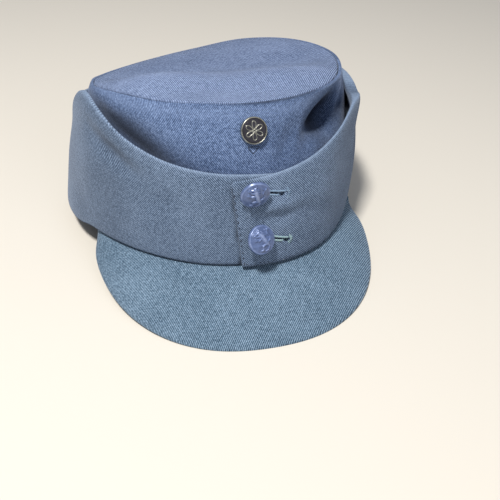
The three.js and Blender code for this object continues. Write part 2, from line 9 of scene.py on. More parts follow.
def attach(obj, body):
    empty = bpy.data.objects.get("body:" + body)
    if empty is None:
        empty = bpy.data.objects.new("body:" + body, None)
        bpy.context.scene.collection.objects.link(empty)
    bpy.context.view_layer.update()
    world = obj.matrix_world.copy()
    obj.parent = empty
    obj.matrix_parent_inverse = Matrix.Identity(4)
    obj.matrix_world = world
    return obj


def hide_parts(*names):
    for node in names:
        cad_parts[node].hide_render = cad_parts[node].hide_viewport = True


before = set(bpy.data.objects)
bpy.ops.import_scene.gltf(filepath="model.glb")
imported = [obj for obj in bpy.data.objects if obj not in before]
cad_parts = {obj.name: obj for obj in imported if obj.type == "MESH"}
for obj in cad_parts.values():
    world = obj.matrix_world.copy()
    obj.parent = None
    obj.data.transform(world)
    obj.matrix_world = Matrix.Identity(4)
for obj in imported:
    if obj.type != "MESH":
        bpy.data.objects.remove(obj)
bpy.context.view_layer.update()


# Crown wall: the side band of the crown, cut from blue-grey melange wool twill and sewn into one loop.
# It is soft, so it is dented at the wearer's left and creased beside the dent. Its top edge is turned in
# and sewn to the crown top.

# How the cap rests: tipped back about X by this much, then moved to this place in metres.
cap_tilt = math.radians(6.41)
cap_place = Vector((0.003907, 0.019892, 0.011654))
# The oval that the cloth goes round, and the cloth that one radian of turn takes, in millimetres.
cap_half_width = 86.7
cap_half_length = 100.2
cap_reach = 0.5 * (cap_half_width + cap_half_length)


def linear(code):
    """A colour written as sRGB hex, as the linear values that Blender takes."""
    parts = [int(code[i : i + 2], 16) / 255 for i in (1, 3, 5)]
    return (*[p / 12.92 if p <= 0.04045 else ((p + 0.055) / 1.055) ** 2.4 for p in parts], 1)


def add_node(tree, kind, values=None, links=None, **settings):
    """A shader node with its settings, its socket values and what is linked into it."""
    made = tree.nodes.new(kind)
    for name, value in settings.items():
        setattr(made, name, value)
    for socket, value in (values or {}).items():
        made.inputs[socket].default_value = value
    for socket, source in (links or {}).items():
        tree.links.new(source, made.inputs[socket])
    return made


def ramp(tree, source, stops):
    """A colour ramp on a value, from pairs of place and sRGB hex."""
    made = add_node(tree, "ShaderNodeValToRGB", links={"Fac": source})
    while len(made.color_ramp.elements) < len(stops):
        made.color_ramp.elements.new(0.5)
    for element, (place, code) in zip(made.color_ramp.elements, stops):
        element.position = place
        element.color = linear(code)
    return made.outputs["Color"]


def bare_material(name):
    """A material with no nodes yet, and its node tree."""
    material = bpy.data.materials.new(name)
    material.use_nodes = True
    material.node_tree.nodes.clear()
    return material, material.node_tree


def weighted(tree, pairs):
    """The sum of several values, each times its weight."""
    total = None
    for source, weight in pairs:
        scaled = add_node(tree, "ShaderNodeMath", {1: weight}, {0: source}, operation="MULTIPLY").outputs[0]
        if total:
            scaled = add_node(tree, "ShaderNodeMath", links={0: total, 1: scaled}, operation="ADD").outputs[0]
        total = scaled
    return total


def serge(name, rib_angle, groove, body, light, rib_share=0.3, speckle=0.25):
    """Wool twill: ribs at that angle to the cloth's width, yarn crossings, speckle, hairs and soft fading."""
    # Sizes in millimetres. Real ribs and yarns are too fine for the render, so they are drawn coarse enough
    # to show. A wave's scale counts its ribs to 314 mm, and a noise's scale counts its lumps to a metre.
    rib, yarn = 0.95, 0.5225
    fibre, speck, hair, faded_patch = 1.0, 1.613, 0.3846, 26.32
    material, tree = bare_material(name)
    cloth = add_node(tree, "ShaderNodeUVMap", uv_map="cloth").outputs["UV"]
    lean = math.radians(math.copysign(90 - abs(rib_angle), rib_angle))
    turned = add_node(tree, "ShaderNodeMapping", {"Rotation": (0, 0, lean)}, {"Vector": cloth}).outputs[0]
    # One rib is a row of floating yarns. Its width wanders a little, as spun wool does.
    ribs = add_node(
        tree, "ShaderNodeTexWave",
        {"Scale": 314 / rib, "Distortion": 1.6, "Detail": 1.5, "Detail Scale": 0.35},
        {"Vector": turned}, wave_type="BANDS", bands_direction="X",
    ).outputs["Fac"]
    # Each float passes under a weft yarn at its ends.
    picks = add_node(
        tree, "ShaderNodeTexWave",
        {"Scale": 314 / yarn, "Distortion": 1.2, "Detail": 1, "Detail Scale": 0.5},
        {"Vector": cloth}, wave_type="BANDS", bands_direction="Y",
    ).outputs["Fac"]
    place = add_node(tree, "ShaderNodeTexCoord").outputs["Object"]
    # Dark and pale fibres are carded together, so the colour is speckled at about a millimetre.
    fibres = add_node(
        tree, "ShaderNodeTexNoise", {"Scale": 1000 / fibre, "Detail": 2, "Roughness": 0.7}, {"Vector": place}
    ).outputs["Fac"]
    specks = add_node(
        tree, "ShaderNodeTexNoise", {"Scale": 1000 / speck, "Detail": 2, "Roughness": 0.6}, {"Vector": place}
    ).outputs["Fac"]
    hairs = add_node(
        tree, "ShaderNodeTexNoise", {"Scale": 1000 / hair, "Detail": 1, "Roughness": 0.6}, {"Vector": place}
    ).outputs["Fac"]
    fading = add_node(
        tree, "ShaderNodeTexNoise",
        {"Scale": 1000 / faded_patch, "Detail": 3, "Roughness": 0.5}, {"Vector": place},
    ).outputs["Fac"]
    weave = weighted(tree, [(ribs, rib_share), (picks, 0.05), (fibres, 0.8 - rib_share), (hairs, 0.2)])
    shade = weighted(tree, [(weave, 1 - speckle), (specks, speckle), (fading, 0.12)])
    colour = ramp(tree, shade, [(0.41, groove), (0.585, body), (0.76, light)])
    # Above nothing, the attribute is painted highlight: the cloth is paled towards its light colour along the
    # curtain's top edge, in a band below the crown's seam and along the top's front ridge and before it.
    painted_light_and_wear = add_node(tree, "ShaderNodeAttribute", attribute_name="painted_light_and_wear").outputs["Fac"]
    painted_light_and_rubbing = add_node(tree, "ShaderNodeMath", {1: 0.5}, {0: painted_light_and_wear}, operation="MULTIPLY").outputs[0]
    paled = add_node(
        tree, "ShaderNodeMix", {7: linear(light)}, {0: painted_light_and_rubbing, 6: colour}, data_type="RGBA"
    ).outputs[2]
    # Below nothing, it darkens the cloth towards near black: painted shade in the crown's dent, behind the
    # curtain's left rim, in the curtain's creases and beside its stitched end and foot, and plain darkening
    # along the crown's seam and towards the curtain's sides.
    painted_shade_and_darkening = add_node(tree, "ShaderNodeMath", {1: -1}, {0: painted_light_and_wear}, operation="MULTIPLY").outputs[0]
    mixed = add_node(
        tree, "ShaderNodeMix", {7: linear("#141a28")}, {0: painted_shade_and_darkening, 6: paled}, data_type="RGBA"
    )
    bump = add_node(
        tree, "ShaderNodeBump", {"Strength": 0.75, "Distance": 0.0003}, {"Height": weave}
    ).outputs["Normal"]
    wool = add_node(
        tree, "ShaderNodeBsdfPrincipled",
        {"Roughness": 0.92, "Specular IOR Level": 0.2, "Sheen Weight": 0.25, "Sheen Roughness": 0.45,
         "Sheen Tint": linear("#c4d0e6")},
        {"Base Color": mixed.outputs[2], "Normal": bump},
    )
    add_node(tree, "ShaderNodeOutputMaterial", links={"Surface": wool.outputs[0]})
    return material


def in_cap(point):
    """A point in the cap's own frame in millimetres, with the bottom edge level at 0 and the front at -Y."""
    x, y, z = (point - cap_place) * 1000
    level, raised = math.cos(cap_tilt), math.sin(cap_tilt)
    return Vector((x, y * level - z * raised, y * raised + z * level))


def from_cap(vector):
    """A direction of the cap's own frame, as the cap stands."""
    return Matrix.Rotation(-cap_tilt, 3, "X") @ Vector(vector)


def round_and_up(place):
    """Millimetres to the right round the cap from its front, and up from its bottom edge."""
    turn = math.atan2(place.x / cap_half_width, -place.y / cap_half_length)
    return turn * cap_reach, place.z


def outward(place):
    """The level direction away from the cap's middle."""
    return Vector((place.x / cap_half_width**2, place.y / cap_half_length**2, 0)).normalized()


def clamped(value):
    """A value held between 0 and 1."""
    return max(0, min(1, value))


def bell(off, width):
    """1 on a line, falling away smoothly to both sides of it over about that width."""
    return math.exp(-((off / width) ** 2))


def folds_at(folds, along, up):
    """How far the soft folds of a table lift the cloth, at a place in millimetres."""
    rise = 0
    for a0, h0, a1, h1, width, lift in folds:
        run, climb = a1 - a0, h1 - h0
        share = clamped(((along - a0) * run + (up - h0) * climb) / (run**2 + climb**2))
        off = math.hypot(along - a0 - share * run, up - h0 - share * climb)
        rise += lift * bell(off, width) * (0.35 + 0.65 * math.sin(math.pi * share))
    return rise


def smoothed(node, name, levels, crease, puffed=lambda along: 0):
    """A quad mesh of a CAD cloth piece, smoothed so that its folds bend evenly.

    Its sharp edges keep a crease, except where puffed(along) is 1 and the cloth rolls over softly.
    """
    form = bmesh.new()
    form.from_mesh(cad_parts[node].data)
    bmesh.ops.remove_doubles(form, verts=form.verts, dist=0.000002)
    bmesh.ops.join_triangles(
        form, faces=form.faces, angle_face_threshold=math.radians(35), angle_shape_threshold=math.radians(60)
    )
    sharpness = form.edges.layers.float.new("crease_edge")
    for edge in form.edges:
        if len(edge.link_faces) == 2 and edge.calc_face_angle() > math.radians(38):
            along = round_and_up(in_cap((edge.verts[0].co + edge.verts[1].co) / 2))[0]
            edge[sharpness] = crease * (1 - puffed(along))
    mesh = bpy.data.meshes.new(name)
    form.to_mesh(mesh)
    form.free()
    piece = bpy.data.objects.new(name, mesh)
    bpy.context.scene.collection.objects.link(piece)
    smooth = piece.modifiers.new("smooth", "SUBSURF")
    smooth.levels = smooth.render_levels = levels
    fine = bpy.data.meshes.new_from_object(piece.evaluated_get(bpy.context.evaluated_depsgraph_get()))
    piece.modifiers.clear()
    piece.data = fine
    for face in fine.polygons:
        face.use_smooth = True
    return piece


def shape(piece, shift):
    """Moves each point of a piece by shift(place, along, up), in millimetres in the cap's own frame."""
    for vertex in piece.data.vertices:
        place = in_cap(vertex.co)
        along, up = round_and_up(place)
        vertex.co += from_cap(shift(place, along, up)) / 1000


def lay_cloth(piece, flat, painted_light_and_wear):
    """The cloth's own coordinates in metres as a UV map, and its painted highlight and shade, with some plain
    darkening, as an attribute.
    """
    mesh = piece.data
    layer = mesh.uv_layers.new(name="cloth")
    painted_light_and_rubbing = mesh.attributes.new("painted_light_and_wear", "FLOAT", "POINT")
    places = [in_cap(vertex.co) for vertex in mesh.vertices]
    for vertex, place in zip(mesh.vertices, places):
        painted_light_and_rubbing.data[vertex.index].value = painted_light_and_wear(place, *round_and_up(place))
    lap = 2 * math.pi * cap_reach
    for face in mesh.polygons:
        middle = in_cap(face.center)
        seen = flat(middle, *round_and_up(middle))
        for loop in face.loop_indices:
            place = places[mesh.loops[loop].vertex_index]
            u, v = flat(place, *round_and_up(place))
            if abs(u - seen[0]) > lap / 2:
                u += math.copysign(lap, seen[0] - u)
            layer.data[loop].uv = (u / 1000, v / 1000)


crown_serge = serge("crown_serge", -47, "#222d46", "#4a6086", "#8ba0c8", rib_share=0.26, speckle=0.2)


def puffed(along):
    """Where the crown's seam is lost in the soft roll at its left: 1 in the roll and 0 away from it."""
    return clamped((-28 - along) / 30) * clamped((along + 168) / 30)


crown_wall = smoothed("crown_wall", "crown_wall_cloth", 2, 0.42, puffed)
# Soft folds in millimetres: where each starts round the cap and up, where it ends, its half width and lift.
crown_folds = [
    (84, 62, 104, 84, 5, 1.6),
    (40, 56, 62, 62, 6, 1.0),
    (18, 60, 34, 76, 5, -0.9),
    (30, 62, 44, 82, 5, 0.8),
    # The wall drawn in behind the curtain at the left, and the roll above it.
    (-108, 65, -48, 49, 11, -8.5),
    (-136, 82, -46, 84, 7, 2.4),
    # The dent at the right: its lower lip, then its hollow.
    (50, 60, 84, 58, 4, 3.0),
    (48, 70, 80, 70, 5, -3.5),
    (70, 74, 88, 83, 6, -3.0),
    # Shallow folds across the front and to the left of it.
    (8, 56, 50, 58, 8, -1.5),
    (-30, 66, -62, 84, 9, 0.8),
    (-52, 60, -88, 76, 7, -0.9),
]


def top_edge(piece, step):
    """A function that gives the height of a piece's top edge, read off it every step millimetres round."""
    heights = {}
    for vertex in piece.data.vertices:
        along, up = round_and_up(in_cap(vertex.co))
        key = round(along / step)
        heights[key] = max(heights.get(key, 0), up)
    return lambda along: heights.get(round(along / step), 0)


seam_at = top_edge(crown_wall, 5)


def wall_lift(place, along, up):
    """How far the crown wall stands off its plain form, in millimetres."""
    lift = folds_at(crown_folds, along, up) + 0.5 * noise.noise(place / 26) * clamped((up - 30) / 20)
    below_seam = 1 - clamped((up - 74) / 14)
    return lift * (0.35 + 0.65 * below_seam)


def crown_shift(place, along, up):
    """The wall's folds, and its top edge sunk a little under the roll at its left."""
    edge = clamped((up - seam_at(along) + 4) / 4)
    sunk = Vector((0, 0, -0.9 * edge * puffed(along)))
    return outward(place) * wall_lift(place, along, up) + sunk


shape(crown_wall, crown_shift)


def crown_painted_light(place, along, up):
    """Painted highlight below the seam, and painted shade behind the curtain at the left and in the dent."""
    painted_light_and_rubbing = 0.35 * bell(up - 86, 3)
    # The seam is darker, from the front rightwards.
    seam = 0.7 * bell(up - 91, 1) * clamped((along + 40) / 50)
    behind = folds_at([(-124, 74, -30, 51, 10, 0.6)], along, up)
    dent = folds_at([(66, 71, 88, 82, 9, 0.95), (46, 70, 80, 69, 8, 0.7)], along, up)
    return painted_light_and_rubbing * (1 - min(1, dent)) - seam - behind - min(dent, 0.92)


lay_cloth(crown_wall, lambda place, along, up: (along, up), crown_painted_light)
crown_wall.data.materials.clear()
crown_wall.data.materials.append(crown_serge)
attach(crown_wall, "root")
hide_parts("crown_wall")


# Crown top: the oval panel of the same twill, sewn all round inside the wall's top edge.
# It is soft, so it puffs up behind the front seam and sags in the middle.

top_serge = serge("top_serge", 58, "#28344e", "#50658c", "#9dafd4", rib_share=0.5, speckle=0.34)
crown_top = smoothed("crown_top", "crown_top_cloth", 2, 0.42, puffed)


def top_shift(place, along, up):
    """Soft waves in the middle, and a rim that follows the wall's folds and covers its edge at the left."""
    from_rim = 1 - math.hypot(place.x / 74, (place.y - 2) / 85)
    wander = 0.9 * noise.noise(place / 30) + 0.35 * noise.noise(place / 11)
    rim = clamped(1 - from_rim * 9)
    spread = (wall_lift(place, along, up) + 1.1 * puffed(along)) * rim
    rise = wander * clamped(from_rim * 6) + 0.1 * rim * puffed(along)
    return outward(place) * spread + Vector((0, 0, rise))


shape(crown_top, top_shift)


def top_painted_highlight(place, along, up):
    """Painted highlight along the front ridge, and paler before it."""
    return 0.3 * bell(place.y + 40, 4) + 0.2 * clamped(-(place.y + 38) / 12)


lay_cloth(crown_top, lambda place, along, up: (place.x, place.y), top_painted_highlight)
crown_top.data.materials.clear()
crown_top.data.materials.append(top_serge)
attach(crown_top, "root")
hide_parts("crown_top")


# Curtain: the doubled band of twill that is turned up round the crown and can be let down over the ears.
# It is sewn along the bottom edge. Its over end is cut square, lies across the under end and is buttoned
# there.

curtain_serge = serge("curtain_serge", -46, "#222e42", "#4f637e", "#90a4c1", rib_share=0.34, speckle=0.12)
curtain = smoothed("curtain", "curtain_cloth", 2, 0.5)
# Soft folds, with the same columns as the crown's.
curtain_folds = [
    (102, 34, 106, 64, 2.6, -1.5),
    (94, 36, 97, 60, 2.2, -1.1),
    (86, 44, 90, 66, 2.4, 0.8),
    (-112, 30, -96, 62, 8, 0.9),
    (-4, 39, 28, 38, 4.5, 2.0),
    (-2, 32, 26, 33, 4, -1.5),
    (30, 46, 52, 34, 6, 0.9),
    (24, 38, 44, 24, 5, -0.9),
    (56, 60, 80, 40, 6, -0.5),
    (-70, 44, -30, 30, 9, -0.7),
    (-70, 52, -108, 67, 5, -3.0),
    (104, 48, 116, 64, 6, -2.6),
]


curtain_top = top_edge(curtain, 4)


def curtain_shift(place, along, up):
    """The curtain's folds above its sewn foot, and its right corner drooping."""
    lift = folds_at(curtain_folds, along, up) + 0.45 * noise.noise(place / 30)
    tip = bell(along - 120, 11) * clamped((up - curtain_top(along) + 9) / 9)
    return outward(place) * lift * clamped((up - 8) / 14) + Vector((0, 0, -2.5 * tip))


shape(curtain, curtain_shift)
# At the right corner the doubled cloth is pinched, so its inner face stands in towards the crown.
normals = [vertex.normal.copy() for vertex in curtain.data.vertices]
for vertex, normal in zip(curtain.data.vertices, normals):
    place = in_cap(vertex.co)
    along, up = round_and_up(place)
    out = from_cap(outward(place))
    pinched = math.exp(-(((along - 122) / 26) ** 4)) * clamped((up - curtain_top(along) + 15) / 11)
    if normal.dot(out) < -0.2:
        vertex.co -= out * 0.0042 * pinched


def curtain_painted_light(place, along, up):
    """Painted highlight along the top edge, and painted shade beside the stitched end and at the foot."""
    turn = math.degrees(along / cap_reach)
    painted_light_and_rubbing = 0.9 * bell(up - curtain_top(along), 1.2)
    end = 0.7 * bell(turn + 5.1 + 4 * up / 56, 0.24) if up < 52 else 0
    foot = 0.6 * bell(up - 2.2, 1) if abs(turn) < 66 else 0
    # Darker towards both sides, with painted shade in the creases near both corners.
    sides = 0.17 * clamped((along - 35) / 40) + 0.17 * clamped((-along - 60) / 30)
    sides += folds_at([(-104, 68, -72, 55, 4, 0.22), (92, 52, 108, 70, 2.5, 0.3)], along, up)
    return painted_light_and_rubbing * (1 - end) - end - foot - sides


lay_cloth(curtain, lambda place, along, up: (along, up), curtain_painted_light)
curtain.data.materials.clear()
curtain.data.materials.append(curtain_serge)
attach(curtain, "root")
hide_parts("curtain")


# Peak: stiff board covered on both faces with the twill, sewn to the front of the bottom edge.
# The cover is pulled tight over the board, so the peak has no folds.

peak_serge = serge("peak_serge", 47, "#243344", "#516b82", "#95acc4", speckle=0.15)
peak = smoothed("peak", "peak_cloth", 2, 0.42)
lay_cloth(peak, lambda place, along, up: (place.x, place.y), lambda place, along, up: 0.0)
peak.data.materials.clear()
peak.data.materials.append(peak_serge)
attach(peak, "root")
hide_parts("peak")


# Buttonholes and stitching: two slits in the over end, each bound with pale thread and tacked at its far end.
# The square end and the bottom edge of the over end are stitched down with dark thread close to the edge.

curtain_faces = BVHTree.FromPolygons(
    [vertex.co for vertex in curtain.data.vertices], [face.vertices for face in curtain.data.polygons]
)
crown_faces = BVHTree.FromPolygons(
    [vertex.co for vertex in crown_wall.data.vertices], [face.vertices for face in crown_wall.data.polygons]
)


def on_cloth(faces, turn, height, lift=0):
    """The point and normal of a cloth's outer face, at a turn in degrees and a height in millimetres."""
    angle = math.radians(turn)
    way = Vector((cap_half_width * math.sin(angle), -cap_half_length * math.cos(angle), 0))
    start = from_cap(way * 2 + Vector((0, 0, height))) / 1000 + cap_place
    point, normal = faces.ray_cast(start, from_cap(-way).normalized())[:2]
    return point + normal * lift / 1000, normal


def thread_material(name, dark, body, light):
    """Spun cotton thread, paler where its plies stand up. A ply is about 0.3 mm wide."""
    ply = 0.2857
    material, tree = bare_material(name)
    place = add_node(tree, "ShaderNodeTexCoord").outputs["Object"]
    plies = add_node(
        tree, "ShaderNodeTexNoise", {"Scale": 1000 / ply, "Detail": 2}, {"Vector": place}
    ).outputs["Fac"]
    tint = ramp(tree, plies, [(0.3, dark), (0.5, body), (0.7, light)])
    bump = add_node(
        tree, "ShaderNodeBump", {"Strength": 0.5, "Distance": 0.0001}, {"Height": plies}
    ).outputs["Normal"]
    spun = add_node(
        tree, "ShaderNodeBsdfPrincipled",
        {"Roughness": 0.7, "Specular IOR Level": 0.3, "Sheen Weight": 0.15},
        {"Base Color": tint, "Normal": bump},
    )
    add_node(tree, "ShaderNodeOutputMaterial", links={"Surface": spun.outputs[0]})
    return material


def thread(name, strands, radius, material, closed=False):
    """Thread of a radius in millimetres, laid along one or more lists of points in metres."""
    line = bpy.data.curves.new(name, "CURVE")
    line.dimensions = "3D"
    line.bevel_depth = radius / 1000
    line.bevel_resolution = 2
    line.use_fill_caps = True
    for points in strands:
        spline = line.splines.new("POLY")
        spline.points.add(len(points) - 1)
        for made, point in zip(spline.points, points):
            made.co = (*point, 1)
        spline.use_cyclic_u = closed
    piece = bpy.data.objects.new(name, line)
    bpy.context.scene.collection.objects.link(piece)
    line.materials.append(material)
    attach(piece, "root")


def wound(path, reach, pitch):
    """Points that wind round a path of (point, normal) pairs, reach and pitch in millimetres."""
    points = []
    travelled = 0
    for (a, out), (b, _) in zip(path, path[1:]):
        length = (b - a).length * 1000
        side = (b - a).cross(out).normalized()
        steps = max(2, round(length / pitch * 9))
        for step in range(steps):
            share = step / steps
            angle = 2 * math.pi * (travelled + share * length) / pitch
            ring = out * math.cos(angle) + side * math.sin(angle)
            points.append(a.lerp(b, share) + ring * reach / 1000)
        travelled += length
    return points


def stitches(faces, path, length, gap, lift):
    """Short runs of thread that dip into the cloth at each end, along a path of (turn, height) pairs."""
    points = [on_cloth(faces, *place) for place in path]
    runs = []
    carried = 0
    for (a, out), (b, _) in zip(points, points[1:]):
        span = (b - a).length * 1000
        while carried + length < span:
            run = []
            for share in (0, 0.12, 0.35, 0.65, 0.88, 1):
                rise = lift * (1 - (2 * share - 1) ** 4) - 0.16
                run.append(a.lerp(b, (carried + share * length) / span) + out * rise / 1000)
            runs.append(run)
            carried += length + gap
        carried = max(0, carried - span)
    return runs


# Each hole: name, turn and height at its button, turn and height at its eye, half width at each, and thread.
blue_thread = thread_material("blue_thread", "#4a6482", "#7f9cba", "#b4cbe0")
green_thread = thread_material("green_thread", "#648290", "#92b3bb", "#c8dcdd")
holes = [
    ("upper", 1.6, 47.9, 10.4, 45.6, 0.95, 1.2, blue_thread),
    ("lower", 3.2, 20.8, 11.5, 16.7, 1.3, 1.15, green_thread),
]
# In millimetres: how far the binding stands round a hole's edge, its pitch, and its thread's radius.
binding_reach, binding_pitch, binding_radius = 0.36, 0.6, 0.21
for name, start, low, end, height, near, far, binding in holes:
    strands = []
    for side in (-1, 1):
        path = [
            on_cloth(
                curtain_faces,
                start + (end - start) * i / 12,
                low + (height - low) * i / 12 + side * (near + (far - near) * i / 12),
                0.1,
            )
            for i in range(13)
        ]
        strands.append(wound(path, binding_reach, binding_pitch))
    # The tack: loops of the same thread over the eye's far side.
    for i in range(7):
        angle = math.radians(-72 + 24 * i)
        ray = [
            on_cloth(
                curtain_faces,
                end + (reach * math.cos(angle)) / 1.75,
                height + reach * math.sin(angle),
                0.12 + 0.45 * math.sin(math.pi * (reach - 1.0) / 2.2),
            )[0]
            for reach in (1.5, 1.95, 2.4, 2.9, 3.2)
        ]
        strands.append(ray)
    thread(f"buttonhole_{name}_thread", strands, binding_radius, binding)

sewing = thread_material("sewing_thread", "#151c2a", "#232d42", "#3d4a64")
end_row = [(-4.3 - 4 * i / 12, 4 + 46 * i / 12) for i in range(13)]
foot_row = [(-4 + 5 * i, 4.2) for i in range(13)]
end_stitches = stitches(curtain_faces, end_row, length=1.6, gap=0.9, lift=0.32)
foot_stitches = stitches(curtain_faces, foot_row, length=1.5, gap=0.9, lift=0.25)
thread("over_end_stitches", end_stitches, 0.24, sewing)
thread("over_foot_stitches", foot_stitches, 0.16, sewing)
# A small triangle of the same thread is tacked on the crown's front.
tack = [(-1.9, 69.6), (2.7, 69.6), (0, 66), (-1.9, 69.6)]
tack_rows = []
for (turn, height), (next_turn, next_height) in zip(tack, tack[1:]):
    row = [(turn + (next_turn - turn) * i / 5, height + (next_height - height) * i / 5) for i in range(6)]
    tack_rows.append([on_cloth(crown_faces, *place, 0.1)[0] for place in row])
thread("front_tack_stitches", tack_rows, 0.16, sewing)


# Buttons: pressed metal shells painted slate blue, each with a raised lion rampant. A shank on the back goes
# through the hole. The paint is satin and has rubbed thin on the rim and on the lion's high places.

# The lion as round-ended strokes, in shares of lion_unit: from x, y, to x, y, and half width.
lion = [
    # Body, neck, head and muzzle.
    (-0.06, 0.26, 0.08, -0.1, 0.15),
    (-0.12, 0.36, -0.03, 0.16, 0.15),
    (-0.17, 0.52, -0.2, 0.47, 0.11),
    (-0.26, 0.48, -0.36, 0.44, 0.055),
    # Locks of the mane, and an ear.
    (-0.05, 0.53, 0.03, 0.5, 0.055),
    (0.02, 0.42, 0.1, 0.38, 0.05),
    (0.05, 0.3, 0.13, 0.25, 0.045),
    (-0.13, 0.62, -0.11, 0.66, 0.035),
    # Forelegs, each with two claws.
    (-0.16, 0.27, -0.36, 0.31, 0.062),
    (-0.36, 0.31, -0.47, 0.4, 0.05),
    (-0.47, 0.4, -0.54, 0.37, 0.028),
    (-0.47, 0.4, -0.5, 0.47, 0.028),
    (-0.1, 0.13, -0.32, 0.05, 0.06),
    (-0.32, 0.05, -0.44, 0.12, 0.048),
    (-0.44, 0.12, -0.51, 0.08, 0.028),
    (-0.44, 0.12, -0.49, 0.18, 0.028),
    # Haunch, raised hind leg and standing hind leg.
    (0.11, -0.18, 0.14, -0.24, 0.15),
    (0.05, -0.26, -0.16, -0.33, 0.072),
    (-0.16, -0.33, -0.15, -0.52, 0.05),
    (-0.15, -0.53, -0.29, -0.56, 0.042),
    (0.19, -0.3, 0.27, -0.44, 0.078),
    (0.27, -0.44, 0.14, -0.6, 0.05),
    (0.14, -0.61, -0.01, -0.66, 0.042),
    # Tail with its forked tuft.
    (0.24, -0.16, 0.4, -0.1, 0.034),
    (0.4, -0.1, 0.44, 0.1, 0.034),
    (0.44, 0.1, 0.31, 0.25, 0.034),
    (0.31, 0.25, 0.36, 0.42, 0.04),
    (0.36, 0.44, 0.46, 0.52, 0.06),
    (0.36, 0.44, 0.28, 0.54, 0.04),
]


def seat(node, turned=0):
    """Where a round piece sits: the middle of its flat back, with Z out of the cap and Y up it."""
    faces = list(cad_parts[node].data.polygons)
    largest = sorted(faces, key=lambda face: -face.area)[:40]
    groups = [[b for b in faces if a.normal.dot(b.normal) > 0.99999] for a in largest]
    backs = max(groups, key=lambda group: sum(face.area for face in group))
    out = -backs[0].normal
    middle = sum((face.center * face.area for face in backs), Vector()) / sum(face.area for face in backs)
    side = Vector((0, 0, 1)).cross(out).normalized()
    axes = Matrix((side, out.cross(side), out)).transposed().to_4x4()
    return Matrix.Translation(middle) @ axes @ Matrix.Rotation(math.radians(turned), 4, "Z")


def lathe(form, profile, steps):
    """Turns a profile about Z, from pairs of radius and height in millimetres."""
    points = [form.verts.new((radius / 1000, 0, height / 1000)) for radius, height in profile]
    edges = [form.edges.new(pair) for pair in zip(points, points[1:])]
    bmesh.ops.spin(
        form, geom=points + edges, cent=(0, 0, 0), axis=(0, 0, 1),
        angle=2 * math.pi, steps=steps, use_merge=True,
    )
    bmesh.ops.remove_doubles(form, verts=form.verts, dist=0.000001)


def placed(form, name, place):
    """A new piece from a closed form, with its faces outwards and its place in its mesh."""
    bmesh.ops.recalc_face_normals(form, faces=form.faces)
    mesh = bpy.data.meshes.new(name)
    form.to_mesh(mesh)
    form.free()
    for face in mesh.polygons:
        face.use_smooth = len(face.vertices) < 5
    mesh.transform(place)
    piece = bpy.data.objects.new(name, mesh)
    bpy.context.scene.collection.objects.link(piece)
    return piece


def faced_disc(name, radius, rings, spokes, front, shade, place):
    """A disc with a flat back whose front rises by front(x, y), in millimetres.

    What shade(x, y) gives is kept as an attribute, which the button paint reads as wear.
    """
    form = bmesh.new()
    painted_light_and_rubbing = form.verts.layers.float.new("painted_light_and_wear")
    lathe(form, [(radius * ring / rings, 0) for ring in range(rings + 1)], spokes)
    for vertex in form.verts:
        x, y = vertex.co.x * 1000, vertex.co.y * 1000
        vertex.co.z = front(x, y) / 1000
        vertex[painted_light_and_rubbing] = shade(x, y)
    rim = [edge for edge in form.edges if edge.is_boundary]
    side = bmesh.ops.extrude_edge_only(form, edges=rim)["geom"]
    for vertex in (part for part in side if isinstance(part, bmesh.types.BMVert)):
        vertex.co.z = 0
        vertex[painted_light_and_rubbing] = 0
    bmesh.ops.edgeloop_fill(form, edges=[edge for edge in form.edges if edge.is_boundary])
    return placed(form, name, place)


def turned_piece(name, profile, place):
    """A piece turned about Z from pairs of radius and height in millimetres."""
    form = bmesh.new()
    lathe(form, profile, 48)
    return placed(form, name, place)


# In millimetres: the shell's radius, its heights at the edge and in the middle, the lion's relief and size.
button_radius = 8.5
button_edge = 1.3
button_dome = 3.0
lion_relief = 1.05
lion_unit = 9.9


def lion_rise(x, y):
    """How far the lion stands above the shell, as a share of its relief."""
    rise = 0
    x, y = x / lion_unit, y / lion_unit
    for x0, y0, x1, y1, half in lion:
        run, climb = x1 - x0, y1 - y0
        share = clamped(((x - x0) * run + (y - y0) * climb) / (run**2 + climb**2))
        off = math.hypot(x - x0 - share * run, y - y0 - share * climb) / half
        if off < 1:
            rise = max(rise, (0.55 + 0.45 * min(1, half / 0.12)) * (1 - off**2) ** 0.6)
    return rise


def button_front(x, y):
    """The domed shell with a fine groove near its rolled edge, and the lion on it."""
    share = math.hypot(x, y) / button_radius
    rise = button_edge + (button_dome - button_edge) * (1 - share**2)
    groove = -0.12 * bell(share - 0.86, 0.03)
    edge = -0.75 * button_edge * max(0, (share - 0.9) / 0.1) ** 2.2
    return rise + groove + edge + lion_relief * lion_rise(x, y)


def button_wear(x, y):
    """Rubbed on the lion's high places and on the rim."""
    share = math.hypot(x, y) / button_radius
    return min(1, 0.9 * lion_rise(x, y) ** 2 + 0.8 * bell(share - 0.94, 0.04))


button_paint, tree = bare_material("button_paint")
place = add_node(tree, "ShaderNodeTexCoord").outputs["Object"]
